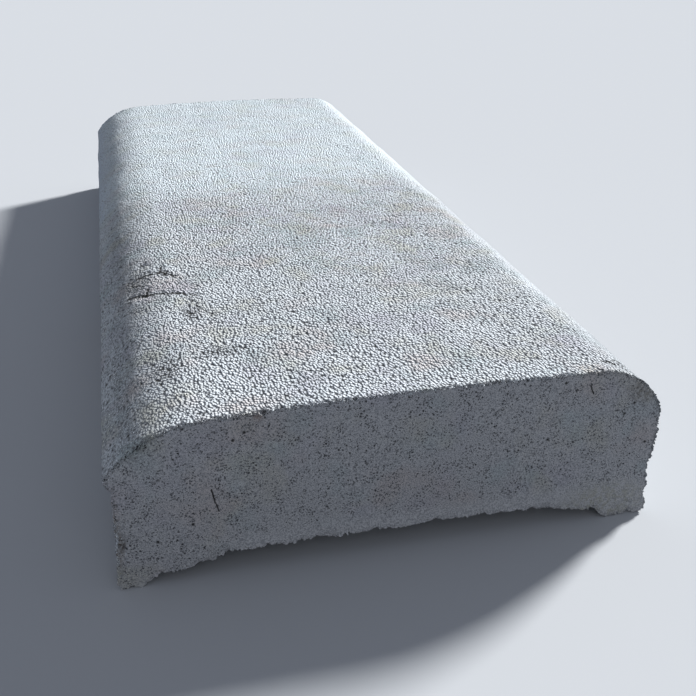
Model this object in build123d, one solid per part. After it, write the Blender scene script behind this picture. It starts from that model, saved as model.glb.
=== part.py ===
from build123d import *

import os

# Concrete kerb stone: one solid casting, 500 x 200 x 65 mm, lying on its two long feet.
#
# Frame: origin under the middle of the stone, in the plane of its feet. +Z is up, +Y runs along
# the stone and +X runs across it. All sizes are in millimetres.

# Overall size
length = 500.0
width = 200.0
height = 65.0

# Top face: a shallow crown, level at its peak and lower at each shoulder
crown_peak_x = 10.0
left_crown_drop = 2.0
right_crown_drop = 0.9

# Shoulders: the large roundings between the top and the long sides
left_shoulder_run = 33.0
left_shoulder_drop = 18.0
right_shoulder_run = 26.0
right_shoulder_drop = 20.0

# Long sides: an upright band under the shoulder, a waist, and a slight flare to the foot.
# The left waist is a short way under the band, and the right one is halfway down the side.
side_band_height = 3.0
left_waist_drop = 3.0
left_waist_depth = 2.0
left_foot_inset = 0.6
right_waist_depth = 1.2
right_foot_inset = 0.2

# Underside: a shallow trough with splayed sides between two long feet
trough_depth = 9.2
left_foot_width = 10.0
right_foot_width = 17.0
foot_riser_run = 4.5
left_ledge_width = 18.0
left_ledge_low = 4.2
left_ledge_high = 5.8
left_riser_run = 6.0
right_splay_run = 32.0
right_splay_low = 3.8

# Roundings of the section's corners, and of the arrises round the two end faces
foot_corner_radius = 2.5
side_corner_radius = 2.0
trough_corner_radius = 1.5
end_arris_radius = 1.0

# Places across the stone that several corners share
left_side = -width / 2
left_foot_outer = left_side + left_foot_inset
left_foot_inner = left_foot_outer + left_foot_width
left_ledge_start = left_foot_inner + foot_riser_run
left_ledge_end = left_ledge_start + left_ledge_width
right_side = width / 2
right_foot_outer = right_side - right_foot_inset
right_foot_inner = right_foot_outer - right_foot_width
right_splay_start = right_foot_inner - foot_riser_run

# Ends of the crown and of the shoulders, as (x, z)
crown_peak = (crown_peak_x, height)
left_crown_end = (left_side + left_shoulder_run, height - left_crown_drop)
left_shoulder_end = (left_side, height - left_crown_drop - left_shoulder_drop)
right_crown_end = (right_side - right_shoulder_run, height - right_crown_drop)
right_shoulder_end = (right_side, height - right_crown_drop - right_shoulder_drop)

# Corners below the shoulders, as (x, z)
left_band_low = left_shoulder_end[1] - side_band_height
right_band_low = right_shoulder_end[1] - side_band_height
left_side_corners = [
    left_shoulder_end,
    (left_side, left_band_low),
    (left_side + left_waist_depth, left_band_low - left_waist_drop),
]
right_side_corners = [
    right_shoulder_end,
    (right_side, right_band_low),
    (right_side - right_waist_depth, right_band_low / 2),
]
left_foot_corner = (left_foot_outer, 0)
right_foot_corner = (right_foot_outer, 0)
trough_corners = [
    (right_foot_inner, 0),
    (right_splay_start, right_splay_low),
    (right_splay_start - right_splay_run, trough_depth),
    (left_ledge_end + left_riser_run, trough_depth),
    (left_ledge_end, left_ledge_high),
    (left_ledge_start, left_ledge_low),
    (left_foot_inner, 0),
]
corner_roundings = [
    (left_side_corners + right_side_corners, side_corner_radius),
    ([left_foot_corner, right_foot_corner], foot_corner_radius),
    (trough_corners, trough_corner_radius),
]


def cross_section():
    """The outline across the stone, in the XZ plane: crown, shoulders, sides and trough."""
    with BuildSketch(Plane.XZ) as section:
        with BuildLine():
            left_crown = TangentArc(crown_peak, left_crown_end, tangent=(-1, 0))
            TangentArc(left_crown_end, left_shoulder_end, tangent=left_crown % 1)
            right_crown = TangentArc(crown_peak, right_crown_end, tangent=(1, 0))
            TangentArc(right_crown_end, right_shoulder_end, tangent=right_crown % 1)
            Polyline(
                *right_side_corners, right_foot_corner, *trough_corners, left_foot_corner,
                *reversed(left_side_corners),
            )
        make_face()
        for corners, radius in corner_roundings:
            nearest = [section.vertices().sort_by_distance(corner)[0] for corner in corners]
            fillet(nearest, radius)
    return section.sketch


def kerb_stone():
    """The section run along the stone, with the arrises round both end faces rubbed off."""
    with BuildPart() as stone:
        extrude(cross_section(), amount=length / 2, both=True)
        end_faces = stone.faces().filter_by(Plane.XZ)
        fillet(end_faces.edges(), end_arris_radius)
    return stone.part


os.makedirs("parts", exist_ok=True)
export_step(kerb_stone(), "parts/kerb_stone.step")
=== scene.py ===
"""Concrete kerb stone: its surface, arrises, colours and light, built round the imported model.

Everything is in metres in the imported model's frame: origin under the middle of the stone, +Y
along it, +X across it and +Z up. Sizes read in millimetres are turned to metres by MM.
"""

import math

import bmesh
import bpy
from mathutils import Matrix, Vector
from mathutils.kdtree import KDTree


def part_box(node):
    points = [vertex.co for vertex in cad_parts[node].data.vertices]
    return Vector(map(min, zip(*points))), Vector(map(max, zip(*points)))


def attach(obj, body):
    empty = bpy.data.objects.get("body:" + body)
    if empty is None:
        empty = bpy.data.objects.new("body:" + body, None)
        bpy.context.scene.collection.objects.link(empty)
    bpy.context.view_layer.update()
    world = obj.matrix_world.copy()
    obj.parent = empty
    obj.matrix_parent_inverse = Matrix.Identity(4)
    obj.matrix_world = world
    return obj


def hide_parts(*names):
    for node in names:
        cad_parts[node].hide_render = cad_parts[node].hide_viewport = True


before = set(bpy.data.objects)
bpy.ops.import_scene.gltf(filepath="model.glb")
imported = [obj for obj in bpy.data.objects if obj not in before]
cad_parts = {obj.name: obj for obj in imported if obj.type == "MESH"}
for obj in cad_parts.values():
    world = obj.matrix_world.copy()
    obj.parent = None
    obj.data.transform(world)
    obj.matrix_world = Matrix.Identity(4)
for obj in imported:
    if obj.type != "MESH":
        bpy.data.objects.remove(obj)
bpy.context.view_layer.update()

MM = 0.001
NODE = "kerb_stone"

# Size of the stone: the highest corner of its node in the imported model
HALF_WIDTH, HALF_LENGTH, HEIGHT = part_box(NODE)[1]

# Section of the stone, as in its source
CROWN_PEAK_X = 10.0 * MM
LEFT_CROWN_END = Vector((-HALF_WIDTH + 33.0 * MM, HEIGHT - 2.0 * MM))
RIGHT_CROWN_END = Vector((HALF_WIDTH - 26.0 * MM, HEIGHT - 0.9 * MM))
LEFT_SHOULDER_END = Vector((-HALF_WIDTH, LEFT_CROWN_END.y - 18.0 * MM))
RIGHT_SHOULDER_END = Vector((HALF_WIDTH, RIGHT_CROWN_END.y - 20.0 * MM))
SIDE_BAND_HEIGHT = 3.0 * MM
LEFT_WAIST_DROP = 3.0 * MM
LEFT_WAIST_DEPTH = 2.0 * MM
RIGHT_WAIST_DEPTH = 1.2 * MM
LEFT_FOOT_X = -HALF_WIDTH + 0.6 * MM
RIGHT_FOOT_X = HALF_WIDTH - 0.2 * MM
FOOT_CORNER_RADIUS = 2.5 * MM
TROUGH_DEPTH = 9.2 * MM
LEFT_FOOT_INNER_X = LEFT_FOOT_X + 10.0 * MM
LEFT_LEDGE_X = LEFT_FOOT_INNER_X + 4.5 * MM
LEFT_LEDGE_END_X = LEFT_LEDGE_X + 18.0 * MM
RIGHT_FOOT_INNER_X = RIGHT_FOOT_X - 17.0 * MM
RIGHT_SPLAY_X = RIGHT_FOOT_INNER_X - 4.5 * MM
UNDERSIDE = [
    (LEFT_FOOT_X, 0.0),
    (LEFT_FOOT_INNER_X, 0.0),
    (LEFT_LEDGE_X, 4.2 * MM),
    (LEFT_LEDGE_END_X, 5.8 * MM),
    (LEFT_LEDGE_END_X + 6.0 * MM, TROUGH_DEPTH),
    (RIGHT_SPLAY_X - 32.0 * MM, TROUGH_DEPTH),
    (RIGHT_SPLAY_X, 3.8 * MM),
    (RIGHT_FOOT_INNER_X, 0.0),
    (RIGHT_FOOT_X, 0.0),
]

# Fineness of the mesh: steps and rows, the finer zone at each end, and how near to the arrises
# and the cracks its faces are halved. Blender makes 100 cuts at once at most
ACROSS_STEP = 2.0 * MM
SIDE_ROWS = 22
ALONG_STEP = 2.9 * MM
MOST_CUTS = 100
END_ZONE = 8.0 * MM
END_ZONE_CUTS = 5
NEAR_ARRIS = 4.5 * MM
AT_ARRIS = 2.0 * MM
ON_NEAR_ARRIS = 0.8 * MM
NEAR_CRACKS = 5.0 * MM
AT_CRACKS = 3.5 * MM
MERGED_WITHIN = 0.01 * MM
SMOOTHED_UP_TO = math.radians(50)

# Kinds of unevenness in the mesh, each with the size of its lumps, the noise below which it is
# deepest, the noise above which there is none, and its depth
WEAR = {
    "casting_waves": (38.0 * MM, 0.2, 0.7, 0.7 * MM),
    "coarse_lumps": (5.0 * MM, 0.2, 0.6, 0.25 * MM),
    "crack_sides": (1.3 * MM, 0.3, 0.6, 0.6 * MM),
    "crumbs": (0.8 * MM, 0.3, 0.65, 1.1 * MM),
    "chips": (4.2 * MM, 0.2, 0.6, 1.4 * MM),
    "knocks": (2.5 * MM, 0.2, 0.9, 3.0 * MM),
}
# How far from the arrises or cracks each kind reaches or fades
CASTING_FADE = 6.0 * MM
CRACK_SIDE_REACH = 2.5 * MM
CRUMB_REACH = 2.0 * MM
CHIP_REACH = 4.0 * MM
# Crumbs are fewest at the feet, and chips at the top
CRUMBS_AT_FEET = 0.35
CRUMBS_GROW_OVER = 40.0 * MM
CHIPS_AT_TOP = 0.3

# Places where an arris has been knocked, each with its reach
KNOCKS = [
    (Vector((-89, -250, 57)) * MM, 5.0 * MM),
    (Vector((-97, -250, 19)) * MM, 5.0 * MM),
    (Vector((-47, -250, 64)) * MM, 1.6 * MM),
]

# All that follows, up to the functions, is in millimetres, as the materials read it.
# Cracks on the top, as seen from above, each with its half width
TOP_CRACKS = [
    ([(-86, -130.5, 0), (-84, -132, 0), (-79, -136, 0)], 1.0),
    ([(-79, -136, 0), (-72, -139, 0), (-66, -142, 0), (-59, -147, 0)], 0.65),
    ([(-82, -112.5, 0), (-77, -114, 0), (-72, -114.5, 0), (-66.5, -122.5, 0)], 0.75),
    ([(-71.5, -108, 0), (-72, -114.5, 0)], 0.7),
    ([(-80, -99, 0), (-77, -102, 0)], 0.6),
    ([(-78, -129, 0), (-79, -136, 0)], 0.7),
    ([(-62, -147, 0), (-60, -158, 0), (-54, -168, 0)], 0.35),
    ([(-65, -190, 0), (-60, -194, 0)], 0.4),
    ([(78, -240, 0), (81, -240.5, 0), (84, -243, 0), (88, -245.5, 0)], 0.8),
    ([(84, -237, 0), (89, -239, 0)], 0.7),
]
# Those that have lost grains on both sides, and the place along the stone that none goes past
CRUMBLING_CRACKS = TOP_CRACKS[:3]
CRACKED_PART_END = -90.0
# Spots on the top where the grains have come out, each a centre and half sizes
PITTED_SPOTS = [
    ((-54, -202, 0), (13, 7, 1)),
    ((-76, -210, 0), (8, 13, 1)),
    ((-63, -164, 0), (6, 12, 1)),
    ((-82, -118, 0), (8, 18, 1)),
    ((84, -242, 0), (9, 6, 1)),
]
# Marks on the near end, as seen from the front: cracks with half widths, then single pits
END_CRACKS = [
    ([(-65.5, 0, 36.2), (-64.6, 0, 31.5)], 0.45),
    ([(-64.6, 0, 31.5), (-63.4, 0, 27.3)], 0.3),
    ([(69.3, 0, 58.9), (70.1, 0, 56.7), (70.9, 0, 55.4)], 0.4),
]
END_PITS = [
    (-53.8, 0, 56.7), (-57.6, 0, 54.2), (-84.4, 0, 17.8), (-72.4, 0, 23.2),
    (59.5, 0, 61.2), (87.8, 0, 49.7), (94.8, 0, 32.2), (84.4, 0, 45.6),
    (55.0, 0, 38.7), (-85.4, 0, 55.5), (-88.3, 0, 54.7), (-91.7, 0, 53.0),
]
END_PIT_SIZE = (0.8, 1.0, 0.8)
# Stains of the near end, each a centre, half sizes, a strength and a tint
END_STAINS = [
    ((-100, 0, 22), (5, 1, 24), 0.8, "#80705E"),
    ((-97, 0, 18), (3, 1, 5), 0.9, "#463C32"),
    ((82, 0, 7), (24, 1, 13), 0.45, "#A3A28E"),
    ((92, 0, 55), (10, 1, 8), 0.6, "#5E5A4E"),
    ((-90, 0, 56), (7, 1, 6), 0.6, "#4C4B46"),
    ((-49, 0, 61.5), (2.5, 1, 2.5), 0.6, "#6E5648"),
]

# The real sand grains are 0.5 to 1 apart. They are drawn a little coarser, so that they show
GRAIN_SPACING = 1.05
GRAIN_LUMPS = 0.9
CRACK_BREAKS = 3.0
# Air pits in two sizes, each with its spacing and its least and greatest radius, and the size
# of the patches in which they crowd
LARGE_PITS = (2.0, 0.0, 0.36)
LARGE_PIT_PATCHES = 10.0
SMALL_PITS = (0.85, 0.1, 0.27)
SMALL_PIT_PATCHES = 5.0
MOTTLING_SIZE = 0.5
STAIN_PATCHES = 1.4
# Soft noise has this detail and roughness
SOFT_DETAIL = 2.0
SOFT_ROUGHNESS = 0.55
# Clouds of colour in both faces: each a tint, a size, and a shift that makes its pattern its own
CLOUD_TINTS = [
    ("#C8B8B2", 24.0, 0.0),
    ("#BBB7C8", 30.0, 310.0),
    ("#AEC2C5", 18.0, 730.0),
    ("#C5C4B0", 20.0, 1170.0),
]


def circle_through(start, centre_side, end):
    """Centre and radius of the arc that leaves start square to centre_side and reaches end."""
    inward = (centre_side - start).normalized()
    chord = end - start
    radius = chord.length_squared / (2 * chord.dot(inward))
    return start + inward * radius, radius


def crown_circle(crown_end):
    """Centre and radius of one half of the crown, which is level at its peak."""
    run = crown_end.x - CROWN_PEAK_X
    drop = HEIGHT - crown_end.y
    radius = (run ** 2 + drop ** 2) / (2 * drop)
    return Vector((CROWN_PEAK_X, HEIGHT - radius)), radius


left_crown = crown_circle(LEFT_CROWN_END)
right_crown = crown_circle(RIGHT_CROWN_END)
left_shoulder = circle_through(LEFT_CROWN_END, left_crown[0], LEFT_SHOULDER_END)
right_shoulder = circle_through(RIGHT_CROWN_END, right_crown[0], RIGHT_SHOULDER_END)


def top_height(x):
    """Height of the top and the shoulders at x."""
    if x < LEFT_CROWN_END.x:
        centre, radius = left_shoulder
    elif x < CROWN_PEAK_X:
        centre, radius = left_crown
    elif x < RIGHT_CROWN_END.x:
        centre, radius = right_crown
    else:
        centre, radius = right_shoulder
    return centre.y + math.sqrt(max(radius ** 2 - (x - centre.x) ** 2, 0.0))


def underside_height(x):
    """Height of the feet and the trough at x, with the rounded outer corners of the feet."""
    into_corner = max(LEFT_FOOT_X + FOOT_CORNER_RADIUS - x, x - RIGHT_FOOT_X + FOOT_CORNER_RADIUS)
    if into_corner > 0:
        across = min(into_corner, FOOT_CORNER_RADIUS)
        return FOOT_CORNER_RADIUS - math.sqrt(FOOT_CORNER_RADIUS ** 2 - across ** 2)
    for (x0, z0), (x1, z1) in zip(UNDERSIDE, UNDERSIDE[1:]):
        if x <= x1:
            return z0 + (z1 - z0) * (x - x0) / (x1 - x0)
    return 0.0


def between(value, value_0, value_1, result_0, result_1):
    """Straight line through two points, read at value."""
    return result_0 + (result_1 - result_0) * (value - value_0) / (value_1 - value_0)


def side_share(z, band_low, waist_z, waist_depth, foot_x):
    """How far out a long side is at height z, as a share of half the width."""
    waist_x = HALF_WIDTH - waist_depth
    if z > band_low:
        return 1.0
    if z > waist_z:
        return between(z, waist_z, band_low, waist_x, HALF_WIDTH) / HALF_WIDTH
    return between(z, 0.0, waist_z, foot_x, waist_x) / HALF_WIDTH


def left_side_share(z):
    """How far out the left side is at height z. Its waist is a short way under its band."""
    band_low = LEFT_SHOULDER_END.y - SIDE_BAND_HEIGHT
    return side_share(z, band_low, band_low - LEFT_WAIST_DROP, LEFT_WAIST_DEPTH, -LEFT_FOOT_X)


def right_side_share(z):
    """How far out the right side is at height z. Its waist is halfway down."""
    band_low = RIGHT_SHOULDER_END.y - SIDE_BAND_HEIGHT
    return side_share(z, band_low, band_low / 2, RIGHT_WAIST_DEPTH, RIGHT_FOOT_X)


def arc_stations(circle, from_x, to_x):
    """Evenly spaced places across an arc, as x values, without its two ends."""
    centre, radius = circle
    angle_0 = math.asin(max(-1.0, (from_x - centre.x) / radius))
    angle_1 = math.asin(min(1.0, (to_x - centre.x) / radius))
    steps = math.ceil(radius * abs(angle_1 - angle_0) / ACROSS_STEP)
    angles = [angle_0 + (angle_1 - angle_0) * i / steps for i in range(1, steps)]
    return [centre.x + radius * math.sin(angle) for angle in angles]


def across_stations():
    """Places across the stone where its section is drawn, from left to right."""
    corners = [-HALF_WIDTH, LEFT_CROWN_END.x, RIGHT_CROWN_END.x, HALF_WIDTH]
    stations = arc_stations(left_shoulder, corners[0], corners[1])
    stations += arc_stations(right_shoulder, corners[2], corners[3])
    steps = math.ceil((corners[2] - corners[1]) / ACROSS_STEP)
    stations += [between(i, 0, steps, corners[1], corners[2]) for i in range(steps + 1)]
    return sorted(stations)


def pick(stone, kind, test):
    """In edit mode, selects only the edges or faces that pass test."""
    bpy.ops.mesh.select_mode(type=kind)
    bpy.ops.mesh.select_all(action="DESELECT")
    shape = bmesh.from_edit_mesh(stone.data)
    for part in {"EDGE": shape.edges, "FACE": shape.faces}[kind]:
        if test(part):
            part.select_set(True)
    shape.select_flush_mode()
    bmesh.update_edit_mesh(stone.data)


def pick_numbered(stone, numbers):
    """In edit mode, selects only the vertices with these numbers."""
    bpy.ops.mesh.select_all(action="DESELECT")
    shape = bmesh.from_edit_mesh(stone.data)
    shape.verts.ensure_lookup_table()
    for number in numbers:
        shape.verts[number].select_set(True)
    bmesh.update_edit_mesh(stone.data)


def cut_across(axis, places):
    """Cuts the whole mesh by planes square to an axis, one at each place."""
    for place in places:
        bpy.ops.mesh.select_all(action="SELECT")
        bpy.ops.mesh.bisect(
            plane_co=[place * part for part in axis], plane_no=axis, threshold=MERGED_WITHIN)


def cut_block():
    """A block of the stone's size, cut into columns across it and rows up it."""
    bpy.ops.object.select_all(action="DESELECT")
    bpy.ops.mesh.primitive_cube_add(size=1, location=(0, 0, HEIGHT / 2))
    stone = bpy.context.object
    stone.name = "cast_kerb_stone"
    stone.scale = (2 * HALF_WIDTH, 2 * HALF_LENGTH, HEIGHT)
    bpy.ops.object.transform_apply(location=True, rotation=True, scale=True)
    bpy.ops.object.mode_set(mode="EDIT")
    cut_across((1, 0, 0), across_stations())
    cut_across((0, 0, 1), [HEIGHT * row / SIDE_ROWS for row in range(1, SIDE_ROWS)])
    return stone


def rows_and_columns(stone):
    """The vertices of the block by the column and by the row that they stand in."""
    columns, rows = {}, {}
    for vertex in bmesh.from_edit_mesh(stone.data).verts:
        columns.setdefault(round(vertex.co.x, 6), []).append(vertex.index)
        rows.setdefault(round(vertex.co.z, 6), []).append(vertex.index)
    return columns, rows


def draw_in_rows(stone, rows):
    """Draws each row of the block in to the outline of the left and the right side."""
    shape = bmesh.from_edit_mesh(stone.data)
    left_half = {vertex.index for vertex in shape.verts if vertex.co.x < 0}
    for block_z, numbers in rows.items():
        share = block_z / HEIGHT
        left_z = between(share, 0, 1, FOOT_CORNER_RADIUS, LEFT_SHOULDER_END.y)
        right_z = between(share, 0, 1, FOOT_CORNER_RADIUS, RIGHT_SHOULDER_END.y)
        for drawn_in, half in (
            (left_side_share(left_z), left_half.intersection(numbers)),
            (right_side_share(right_z), set(numbers) - left_half),
        ):
            pick_numbered(stone, half)
            bpy.ops.transform.resize(value=(drawn_in, 1, 1), center_override=(0, 0, 0))


def press_columns(stone, columns):
    """Presses each column of the block together to stand between the trough and the crown."""
    for x, numbers in columns.items():
        foot_x = -x / HALF_WIDTH * LEFT_FOOT_X if x < 0 else x / HALF_WIDTH * RIGHT_FOOT_X
        low, high = underside_height(foot_x), top_height(x)
        share = (high - low) / HEIGHT
        pick_numbered(stone, numbers)
        bpy.ops.transform.resize(
            value=(1, 1, share), center_override=(0, 0, low / (1 - share)))


def shape_section(stone):
    """Gives the block the stone's section."""
    bpy.ops.mesh.select_mode(type="VERT")
    columns, rows = rows_and_columns(stone)
    draw_in_rows(stone, rows)
    press_columns(stone, columns)


def lengthwise(edge):
    """True for an edge that runs along the stone."""
    run = edge.verts[1].co - edge.verts[0].co
    return abs(run.y) > 0.9 * run.length


def cut_along(stone):
    """Cuts the long faces into short ones, finer towards the two ends."""
    inner = HALF_LENGTH - END_ZONE
    cut_across((0, 1, 0), [-inner, 0, inner])
    middle_cuts = min(MOST_CUTS, round(inner / ALONG_STEP))
    pick(stone, "EDGE", lambda edge: lengthwise(edge)
         and abs(edge.verts[0].co.y + edge.verts[1].co.y) / 2 < inner)
    bpy.ops.mesh.subdivide(number_cuts=middle_cuts)
    pick(stone, "EDGE", lambda edge: lengthwise(edge)
         and abs(edge.verts[0].co.y + edge.verts[1].co.y) / 2 > inner)
    bpy.ops.mesh.subdivide(number_cuts=END_ZONE_CUTS)


def arrises(stone):
    """A finder of the nearest point of the arrises, and which way the long faces look there."""
    shape = bmesh.from_edit_mesh(stone.data)
    shape.normal_update()
    points = []
    for vertex in shape.verts:
        if abs(vertex.co.y) < HALF_LENGTH - MERGED_WITHIN:
            continue
        long_faces = [face.normal for face in vertex.link_faces if abs(face.normal.y) < 0.5]
        if long_faces:
            points.append((vertex.co.copy(), sum(long_faces, Vector()).normalized()))
    finder = KDTree(len(points))
    for number, (place, _) in enumerate(points):
        finder.insert(place, number)
    finder.balance()
    return finder, [outward for _, outward in points]


def refine_arrises(stone):
    """Halves the faces near the arrises, again at the arrises, and again on the near arris."""
    both_ends, near_end = (-1, 1), (-1,)
    for reach, ends in ((NEAR_ARRIS, both_ends), (AT_ARRIS, both_ends), (ON_NEAR_ARRIS, near_end)):
        finder, _ = arrises(stone)
        pick(stone, "FACE", lambda face: finder.find(face.calc_center_median())[2] < reach
             and math.copysign(1, face.calc_center_median().y) in ends)
        bpy.ops.mesh.subdivide(number_cuts=1)


def distance_on_plan(place, points):
    """Distance from a place to a broken line through points in millimetres, from above."""
    distances = []
    for start, end in zip(points, points[1:]):
        start, run = Vector(start[:2]) * MM, Vector(end[:2]) * MM - Vector(start[:2]) * MM
        from_start = place.xy - start
        share = min(1.0, max(0.0, from_start.dot(run) / run.length_squared))
        distances.append((from_start - run * share).length)
    return min(distances)


def distance_to_cracks(place):
    """Distance from a place on the top to its nearest crack; elsewhere the stone's length."""
    if place.z < RIGHT_SHOULDER_END.y or place.y > CRACKED_PART_END * MM:
        return 2 * HALF_LENGTH
    return min(distance_on_plan(place, line) for line, _ in TOP_CRACKS)


def refine_cracks(stone):
    """Halves the faces near the cracks of the top, and again at the cracks."""
    for reach in (NEAR_CRACKS, AT_CRACKS):
        pick(stone, "FACE", lambda face: distance_to_cracks(face.calc_center_median()) < reach)
        bpy.ops.mesh.subdivide(number_cuts=1)


def pitted_noise(name):
    """Noise of one kind of wear, 0 where it is deepest and 1 where there is none; its depth."""
    lump_size, deepest_below, none_above, depth = WEAR[name]
    texture = bpy.data.textures.new(name, "CLOUDS")
    texture.noise_scale = lump_size
    texture.noise_depth = 2
    texture.use_color_ramp = True
    texture.color_ramp.elements[0].position = deepest_below
    texture.color_ramp.elements[1].position = none_above
    return texture, depth


def press_in(stone, texture, depth, weights, direction="NORMAL"):
    """Presses the surface in by up to depth where the texture is dark, as the weights allow."""
    group = stone.vertex_groups.new(name="pressed")
    for number, weight in enumerate(weights):
        if weight > 0:
            group.add([number], min(weight, 1.0), "REPLACE")
    pressing = stone.modifiers.new("pressed", "DISPLACE")
    pressing.texture = texture
    pressing.texture_coords = "LOCAL"
    pressing.mid_level = 1.0
    pressing.strength = depth
    pressing.direction = direction
    pressing.vertex_group = group.name
    bpy.ops.object.modifier_apply(modifier=pressing.name)
    stone.vertex_groups.clear()


def press_face(stone, name, weights):
    """Presses one kind of wear square into the surface, by a weight at each vertex."""
    texture, depth = pitted_noise(name)
    press_in(stone, texture, depth, weights)


def wear_back(stone, name, amounts, outwards):
    """Wears the arrises back towards the middle of the stone, by an amount at each vertex."""
    texture, depth = pitted_noise(name)
    for axis, direction in enumerate("XYZ"):
        for sign in (-1, 1):
            weights = [amount * outward[axis] * sign
                       for amount, outward in zip(amounts, outwards)]
            press_in(stone, texture, depth * sign, weights, direction)


def wear_surface(stone, finder, long_face_normals):
    """Makes the cast faces uneven, crumbles the cracks and wears the arrises."""
    places = [vertex.co.copy() for vertex in stone.data.vertices]
    nearest = [finder.find(place) for place in places]
    away = [distance for _, _, distance in nearest]
    outwards = [long_face_normals[number] + Vector((0, math.copysign(1, place.y), 0))
                for place, (_, number, _) in zip(places, nearest)]

    for name in ("casting_waves", "coarse_lumps"):
        press_face(stone, name, [distance / CASTING_FADE for distance in away])
    press_face(stone, "crack_sides", [
        1 - distance_to_cracks(place) / CRACK_SIDE_REACH for place in places])

    crumbling = [max(0.0, 1 - distance / CRUMB_REACH)
                 * min(1.0, CRUMBS_AT_FEET + place.z / CRUMBS_GROW_OVER)
                 for distance, place in zip(away, places)]
    wear_back(stone, "crumbs", crumbling, outwards)
    chipping = [max(0.0, 1 - distance / CHIP_REACH)
                * between(place.z, 0, HEIGHT, 1.0, CHIPS_AT_TOP)
                for distance, place in zip(away, places)]
    wear_back(stone, "chips", chipping, outwards)
    knocking = [max(0.0, *(1 - (place - knock).length / reach for knock, reach in KNOCKS))
                for place in places]
    wear_back(stone, "knocks", knocking, outwards)


def make_stone():
    """The stone's mesh: cut, shaped, refined at its arrises and cracks, then worn."""
    stone = cut_block()
    shape_section(stone)
    cut_along(stone)
    refine_arrises(stone)
    refine_cracks(stone)
    finder, long_face_normals = arrises(stone)
    bpy.ops.object.mode_set(mode="OBJECT")
    wear_surface(stone, finder, long_face_normals)
    bpy.ops.object.shade_smooth_by_angle(angle=SMOOTHED_UP_TO)
    return stone


stone = make_stone()


def linear(hex_colour):
    """Linear RGBA of an sRGB hex colour."""
    parts = [int(hex_colour[i:i + 2], 16) / 255 for i in (1, 3, 5)]
    return [p / 12.92 if p <= 0.04045 else ((p + 0.055) / 1.055) ** 2.4 for p in parts] + [1.0]


def add(tree, kind, inputs=(), **settings):
    """Adds one node with its settings and links.

    Inputs are given in the order of the node's sockets, or by name. Each is a value, or the
    node or the output that the socket is linked to.
    """
    made = tree.nodes.new(kind)
    for name, value in settings.items():
        setattr(made, name, value)
    free = [socket for socket in made.inputs if socket.enabled]
    named = inputs if isinstance(inputs, dict) else dict(enumerate(inputs))
    for key, value in named.items():
        socket = free[key] if isinstance(key, int) else next(s for s in free if s.name == key)
        if isinstance(value, bpy.types.Node):
            value = next(output for output in value.outputs if output.enabled)
        if isinstance(value, bpy.types.NodeSocket):
            tree.links.new(value, socket)
        else:
            socket.default_value = value
    return made


def new_material(name):
    """An empty node material and its tree."""
    material = bpy.data.materials.new(name)
    material.use_nodes = True
    material.node_tree.nodes.clear()
    return material, material.node_tree


def in_millimetres(tree):
    """The piece's Object coordinates, in millimetres."""
    place = add(tree, "ShaderNodeTexCoord").outputs["Object"]
    return add(tree, "ShaderNodeVectorMath", [place, 1 / MM], operation="SCALE")


def roughened(tree, place, size, reach):
    """The place, moved about by up to half the reach in lumps of that size, all in millimetres."""
    noise = add(tree, "ShaderNodeTexNoise", [place, 1 / size])
    moved = add(tree, "ShaderNodeVectorMath", [noise.outputs["Color"], (reach,) * 3, place],
                operation="MULTIPLY_ADD")
    return add(tree, "ShaderNodeVectorMath", [moved, (reach / 2,) * 3], operation="SUBTRACT")


def patches(tree, place, size, none_below, full_above, low=0.0, high=1.0, detail=SOFT_DETAIL):
    """Soft patches of that size in millimetres: high where their noise is, and low between."""
    noise = add(tree, "ShaderNodeTexNoise", [place, 1 / size, detail, SOFT_ROUGHNESS])
    return add(tree, "ShaderNodeMapRange", [noise, none_below, full_above, low, high],
               interpolation_type="SMOOTHSTEP")


def part_of_stone(tree, place, axis, start, end, at_start=0.0, at_end=1.0):
    """A mask by where the place is along an axis: at_start up to start, at_end past end."""
    along = add(tree, "ShaderNodeSeparateXYZ", [place]).outputs[axis]
    return add(tree, "ShaderNodeMapRange", [along, start, end, at_start, at_end],
               interpolation_type="SMOOTHSTEP")


def joined(tree, operation, masks):
    """Several masks as one: their MAXIMUM or MINIMUM, or with MULTIPLY where all of them hold."""
    result = masks[0]
    for mask in masks[1:]:
        result = add(tree, "ShaderNodeMath", [result, mask], operation=operation)
    return result


def distance_to_line(tree, place, points):
    """Distance from the place to a broken line through the points."""
    distances = []
    for start, end in zip(points, points[1:]):
        start, run = Vector(start), Vector(end) - Vector(start)
        from_start = add(tree, "ShaderNodeVectorMath", [place, start], operation="SUBTRACT")
        along = add(tree, "ShaderNodeVectorMath", [from_start, run / run.length_squared],
                    operation="DOT_PRODUCT")
        along = add(tree, "ShaderNodeMath", [along, 1.0], operation="MULTIPLY", use_clamp=True)
        reached = add(tree, "ShaderNodeVectorMath", [run, along], operation="SCALE")
        distances.append(add(tree, "ShaderNodeVectorMath", [from_start, reached],
                             operation="DISTANCE"))
    return joined(tree, "MINIMUM", distances)


def near_line(tree, place, points, full_within, none_past):
    """A mask of a broken line: 1 within one distance of it and 0 past another."""
    distance = distance_to_line(tree, place, points)
    return add(tree, "ShaderNodeMapRange", [distance, full_within, none_past, 1.0, 0.0],
               interpolation_type="SMOOTHSTEP")


def spot(tree, place, centre, half_sizes):
    """A soft oval spot: 1 in its middle and 0 past its half sizes."""
    off_centre = add(tree, "ShaderNodeVectorMath", [place, centre], operation="SUBTRACT")
    share = add(tree, "ShaderNodeVectorMath", [off_centre, half_sizes], operation="DIVIDE")
    share = add(tree, "ShaderNodeVectorMath", [share], operation="LENGTH")
    return add(tree, "ShaderNodeMapRange", [share, 0.3, 1.0, 1.0, 0.0],
               interpolation_type="SMOOTHSTEP")


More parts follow.
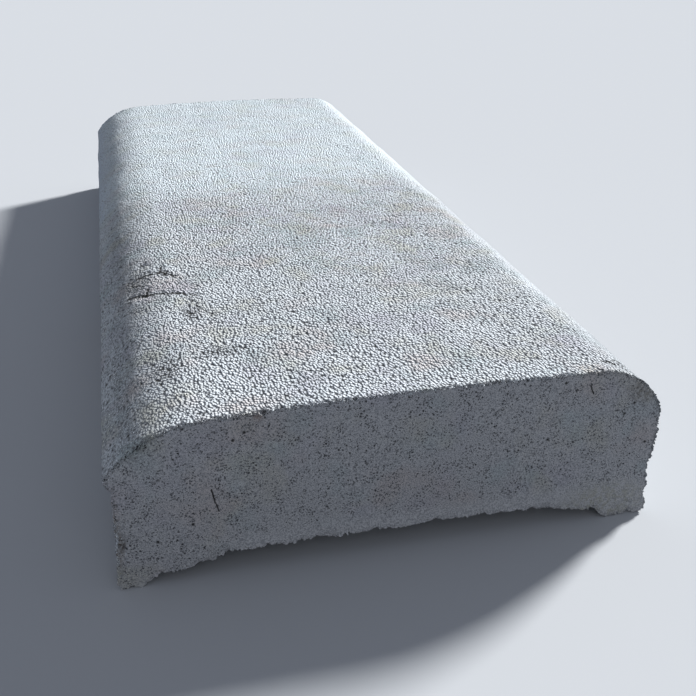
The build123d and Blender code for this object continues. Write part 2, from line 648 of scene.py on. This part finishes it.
def tinted(tree, colour, tints):
    """The colour, turned to each tint in order where that tint's mask is 1."""
    for mask, hex_colour in tints:
        colour = add(tree, "ShaderNodeMix", [mask, colour, linear(hex_colour)],
                     data_type="RGBA")
    return colour


def clouded(tree, place, hex_colour, strength):
    """A colour with faint warm, lilac, blue-green and olive clouds."""
    tints = []
    for tint, size, shift in CLOUD_TINTS:
        shifted = add(tree, "ShaderNodeVectorMath", [place, (shift, 0, 0)])
        tints.append((patches(tree, shifted, size, 0.5, 0.72, 0.0, strength), tint))
    return tinted(tree, linear(hex_colour), tints)


def sand_faced_concrete():
    """Dry-pressed concrete with an open sandy face, which gives the eye a bright, gritty glare."""
    material, tree = new_material("sand_faced_concrete")
    place = in_millimetres(tree)

    # Places moved about, so that the cracks are ragged and no part of the stone ends in a line
    ragged = roughened(tree, roughened(tree, place, 2.0, 2.2), 0.7, 1.0)
    plan = add(tree, "ShaderNodeVectorMath", [ragged, (1.0, 1.0, 0.0)], operation="MULTIPLY")
    wandering = roughened(tree, place, 8.0, 12.0)
    right_shoulder_part = joined(tree, "MULTIPLY", [
        part_of_stone(tree, wandering, "X", 70.0, 90.0),
        part_of_stone(tree, wandering, "Y", -245.0, -150.0, 0.55, 1.0)])
    left_side_part = part_of_stone(tree, wandering, "X", -100.0, -88.0, 1.0, 0.0)
    far_part = part_of_stone(tree, wandering, "Y", -65.0, 60.0)

    # Sand grains with hollows between them, a little longer along the stone than across it
    longer = add(tree, "ShaderNodeVectorMath", [place, (1.0, 0.75, 1.0)], operation="MULTIPLY")
    grains = add(tree, "ShaderNodeTexVoronoi", [longer, 1 / GRAIN_SPACING])
    uneven = add(tree, "ShaderNodeTexNoise", [longer, 1 / GRAIN_LUMPS, 0.0, SOFT_ROUGHNESS])
    worn = add(tree, "ShaderNodeMath", [grains.outputs["Distance"], -2.0, uneven],
               operation="MULTIPLY_ADD")

    # Broken lines of the cracks, and the places where grains are out
    broken = patches(tree, place, CRACK_BREAKS, 0.36, 0.5, detail=1.0)
    cracks = [near_line(tree, plan, line, 0.25 * width, width) for line, width in TOP_CRACKS]
    cracks = joined(tree, "MULTIPLY", [joined(tree, "MAXIMUM", cracks), broken])
    pitted = [spot(tree, plan, centre, size) for centre, size in PITTED_SPOTS]
    pitted += [near_line(tree, plan, line, 0.5, 2.5) for line, _ in CRUMBLING_CRACKS]
    pitted = joined(tree, "MAXIMUM", pitted)

    # The relief is lower there. On the right shoulder and in the far part the hollows are less
    # deep, which leaves less painted shade in them, so that they look lighter as painted light;
    # and there and on the left side all of it is shallower
    for mask, change in (
        (pitted, -0.5),
        (cracks, -1.6),
        (right_shoulder_part, 0.4),
        (far_part, 0.25),
    ):
        worn = add(tree, "ShaderNodeMath", [mask, change, worn], operation="MULTIPLY_ADD")
    depths = [
        add(tree, "ShaderNodeMapRange", [mask, 0.0, 1.0, elsewhere, there],
            interpolation_type="SMOOTHSTEP")
        for mask, elsewhere, there in (
            (right_shoulder_part, 1.25 * MM, 0.5 * MM),
            (far_part, 1.0, 0.6),
            (left_side_part, 1.0, 0.6),
        )]
    depth = joined(tree, "MULTIPLY", depths)

    # Pale sand and cement. Painted shade makes the hollows grey, and near black in the deepest
    # ones and in the cracks, partly dirt there. Painted light makes the far part lighter, painted
    # shade tones down the strongly lit right shoulder and side, and painted sky shade tints the
    # far left side blue
    # Shares along the stone of the painted light on the far part, of the painted shade on the lit
    # right shoulder and of the painted sky shade on the left side
    painted_far_light, lit_shoulder_shade_share, sky_shade_share = [
        add(tree, "ShaderNodeMapRange", [far_part, 0.0, 1.0, near_share, far_share],
            interpolation_type="SMOOTHSTEP")
        for near_share, far_share in ((0.0, 0.5), (1.0, 0.8), (0.0, 0.8))]
    # Painted shade that tones down the strongly lit right shoulder
    painted_lit_shoulder_shade = joined(tree, "MULTIPLY", [
        part_of_stone(tree, wandering, "X", 72.0, 97.0), lit_shoulder_shade_share])
    # Painted shade that tones down the strongly lit right side
    painted_lit_side_shade = part_of_stone(tree, place, "X", 87.0, 99.0)
    # Painted sky shade that tints the far left side blue
    painted_sky_shade = joined(tree, "MULTIPLY", [left_side_part, sky_shade_share])
    # Painted shade in the hollows of the grains, near black and partly dirt in the deepest ones
    painted_hollow_shade, deepest = [
        add(tree, "ShaderNodeMapRange", [worn, low, high, 1.0, 0.0],
            interpolation_type="SMOOTHSTEP")
        for low, high in ((-0.95, -0.45), (-1.6, -1.0))]
    colour = tinted(tree, clouded(tree, place, "#E3EAEF", 0.5), [
        (painted_far_light, "#E3F1F6"),
        (painted_lit_shoulder_shade, "#B9BFC4"),
        (painted_lit_side_shade, "#9EA4A9"),
        (painted_sky_shade, "#C0CCD9"),
        (painted_hollow_shade, "#A8ADB2"),
        (deepest, "#1E2022"),
    ])

    bump = add(tree, "ShaderNodeBump", {"Height": worn, "Strength": 1.0, "Distance": depth})
    shader = add(tree, "ShaderNodeBsdfPrincipled", {
        "Base Color": colour, "Roughness": 0.9, "Diffuse Roughness": 0.2, "Normal": bump})
    add(tree, "ShaderNodeOutputMaterial", {"Surface": shader})
    return material


def pits(tree, place, sizes, crowding):
    """Round pits, one to a cell, larger where they crowd, of those sizes in millimetres."""
    spacing, smallest, largest = sizes
    cells = add(tree, "ShaderNodeTexVoronoi", [place, 1 / spacing])
    size = add(tree, "ShaderNodeMapRange",
               [crowding, 0.35, 0.65, smallest / spacing, largest / spacing],
               interpolation_type="SMOOTHSTEP")
    inside = add(tree, "ShaderNodeMath", [size, cells.outputs["Distance"]],
                 operation="SUBTRACT")
    return add(tree, "ShaderNodeMapRange", [inside, -0.1 / spacing, 0.08 / spacing],
               interpolation_type="SMOOTHSTEP")


def mould_faced_concrete():
    """Concrete pressed against steel, which gives the eye a smooth grey face with fine pits."""
    material, tree = new_material("mould_faced_concrete")
    place = in_millimetres(tree)
    rough_place = roughened(tree, place, 0.6, 0.7)
    from_front = add(tree, "ShaderNodeVectorMath", [rough_place, (1.0, 0.0, 1.0)],
                     operation="MULTIPLY")
    near_end = part_of_stone(tree, rough_place, "Y", -246.0, -244.0, 1.0, 0.0)
    pressed_smooth = joined(tree, "MULTIPLY", [
        part_of_stone(tree, rough_place, "Z", 12.0, 20.0, 1.0, 0.0),
        part_of_stone(tree, rough_place, "X", -75.0, -50.0)])

    # Air pits in two sizes, crowded in places and along the top, and few where it is smooth
    open_face = add(tree, "ShaderNodeMapRange", [pressed_smooth, 0.0, 1.0, 1.0, 0.2],
                    interpolation_type="SMOOTHSTEP")
    upper_edge = part_of_stone(tree, rough_place, "Z", 48.0, 64.0, 0.0, 0.08)
    crowding = add(tree, "ShaderNodeTexNoise",
                   [place, 1 / LARGE_PIT_PATCHES, SOFT_DETAIL, SOFT_ROUGHNESS])
    crowding = add(tree, "ShaderNodeMath", [crowding, upper_edge], operation="ADD")
    large_pits = pits(tree, rough_place, LARGE_PITS, crowding)
    large_pits = joined(tree, "MULTIPLY", [large_pits, open_face])
    crowding = add(tree, "ShaderNodeTexNoise",
                   [place, 1 / SMALL_PIT_PATCHES, SOFT_DETAIL, SOFT_ROUGHNESS])
    small_pits = pits(tree, rough_place, SMALL_PITS, crowding)
    small_pits = joined(tree, "MULTIPLY", [small_pits, open_face])

    # The near end's own cracks, single pits and patchy stains
    marks = [near_line(tree, from_front, line, 0.3 * width, width) for line, width in END_CRACKS]
    marks += [spot(tree, from_front, centre, END_PIT_SIZE) for centre in END_PITS]
    marks = joined(tree, "MULTIPLY", [joined(tree, "MAXIMUM", marks), near_end])
    patchy = patches(tree, place, STAIN_PATCHES, 0.4, 0.6, 0.2, 1.0)
    stains = []
    for centre, size, amount, hex_colour in END_STAINS:
        stain = spot(tree, from_front, centre, size)
        stain = joined(tree, "MULTIPLY", [stain, near_end, patchy, amount])
        stains.append((stain, hex_colour))

    # Grey cement skin with fine mottling, under the stains, and dark in the pits
    fines = add(tree, "ShaderNodeTexNoise", [place, 1 / MOTTLING_SIZE, 1.0, 0.6])
    mottling = add(tree, "ShaderNodeMapRange", [fines, 0.35, 0.6, 0.7, 0.0],
                   interpolation_type="SMOOTHSTEP")
    colour = tinted(tree, clouded(tree, place, "#C5C7CA", 0.35), [
        (pressed_smooth, "#CED0D3"),
        (mottling, "#868A91"),
        *stains,
        (small_pits, "#6C6E73"),
        (large_pits, "#404246"),
        (marks, "#242527"),
    ])

    depth = joined(tree, "MAXIMUM", [large_pits, small_pits, marks])
    relief = add(tree, "ShaderNodeMath", [depth, -1.0, fines], operation="MULTIPLY_ADD")
    bump = add(tree, "ShaderNodeBump", {"Height": relief, "Strength": 1.0,
                                        "Distance": 0.35 * MM})
    shader = add(tree, "ShaderNodeBsdfPrincipled", {
        "Base Color": colour, "Roughness": 0.85, "Diffuse Roughness": 0.3, "Normal": bump})
    add(tree, "ShaderNodeOutputMaterial", {"Surface": shader})
    return material


# The ends and the underside are the mould's faces, and all the rest is sandy
MOULD_FACE_SLOPE = 0.75
stone.data.materials.append(sand_faced_concrete())
stone.data.materials.append(mould_faced_concrete())
for face in stone.data.polygons:
    from_mould = abs(face.normal.y) > MOULD_FACE_SLOPE or face.normal.z < -MOULD_FACE_SLOPE
    face.material_index = 1 if from_mould else 0
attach(stone, "root")
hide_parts(NODE)

# Floor and background: both are pale grey to the camera, and the floor is dim to the stone
FLOOR_SIZE = 14.0
PALE_GREY = "#C6C9CC"
DIM_GREY = "#6C7076"


def seen_directly(tree):
    """1 for light paths that show the background: straight, mirrored or through glass."""
    path = add(tree, "ShaderNodeLightPath")
    kinds = ("Is Camera Ray", "Is Glossy Ray", "Is Transmission Ray")
    return joined(tree, "MAXIMUM", [path.outputs[kind] for kind in kinds])


def pale_floor():
    """A wide plain floor that looks pale to the camera and gives little light back."""
    bpy.ops.object.select_all(action="DESELECT")
    bpy.ops.mesh.primitive_plane_add(size=FLOOR_SIZE, location=(0, 0, 0))
    floor = bpy.context.object
    floor.name = "floor"
    material, tree = new_material("matt_floor_paint")
    colour = tinted(tree, linear(DIM_GREY), [(seen_directly(tree), PALE_GREY)])
    shader = add(tree, "ShaderNodeBsdfDiffuse", {"Color": colour})
    add(tree, "ShaderNodeOutputMaterial", {"Surface": shader})
    floor.data.materials.append(material)


pale_floor()

# Camera: its place and turn, and its focal length in pixels of a photograph of that width
CAMERA_PLACE = (-83.6 * MM, -505.0 * MM, 212.7 * MM)
YAW = math.radians(14.14)
PITCH = math.radians(26.15)
ROLL = math.radians(0.56)
FOCAL_LENGTH = 917.0
PHOTOGRAPH_WIDTH = 696.0
SENSOR_WIDTH = 36.0
camera_data = bpy.data.cameras.new("camera")
camera_data.sensor_width = SENSOR_WIDTH
camera_data.lens = SENSOR_WIDTH * FOCAL_LENGTH / PHOTOGRAPH_WIDTH
camera = bpy.data.objects.new("camera", camera_data)
bpy.context.scene.collection.objects.link(camera)
camera.location = CAMERA_PLACE
turn = (Matrix.Rotation(-YAW, 4, "Z") @ Matrix.Rotation(math.pi / 2 - PITCH, 4, "X")
        @ Matrix.Rotation(ROLL, 4, "Z"))
camera.rotation_euler = turn.to_euler()
bpy.context.scene.camera = camera

# Light: a low sun from behind on the right, a wide weak one from the front, and a pale sky
KEY_AZIMUTH = math.radians(31)
KEY_HEIGHT = math.radians(28)
KEY_SPREAD = math.radians(9)
KEY_STRENGTH = 6.7
FILL_SIDE = Vector((-0.1, -0.95, 0.3)).normalized()
FILL_SPREAD = math.radians(70)
FILL_STRENGTH = 0.35
SKY_TINT = "#DDE6FA"
SKY_STRENGTH = 0.27


def add_sun(name, side, spread, strength):
    """A sun lamp that shines from a side, with its light spread over an angle."""
    lamp = bpy.data.lights.new(name, "SUN")
    lamp.angle = spread
    lamp.energy = strength
    sun = bpy.data.objects.new(name, lamp)
    bpy.context.scene.collection.objects.link(sun)
    sun.location = side
    sun.rotation_euler = side.to_track_quat("Z", "Y").to_euler()


key_side = Vector((math.cos(KEY_AZIMUTH) * math.cos(KEY_HEIGHT),
                   math.sin(KEY_AZIMUTH) * math.cos(KEY_HEIGHT), math.sin(KEY_HEIGHT)))
add_sun("key", key_side, KEY_SPREAD, KEY_STRENGTH)
add_sun("front_fill", FILL_SIDE, FILL_SPREAD, FILL_STRENGTH)

world = bpy.data.worlds.new("studio")
bpy.context.scene.world = world
world.use_nodes = True
tree = world.node_tree
tree.nodes.clear()
sky = add(tree, "ShaderNodeBackground", {"Color": linear(SKY_TINT), "Strength": SKY_STRENGTH})
backdrop = add(tree, "ShaderNodeBackground", {"Color": linear(PALE_GREY), "Strength": 1.0})
shown = add(tree, "ShaderNodeMixShader", [seen_directly(tree), sky, backdrop])
add(tree, "ShaderNodeOutputWorld", {"Surface": shown})
bpy.context.scene.view_settings.view_transform = "Standard"
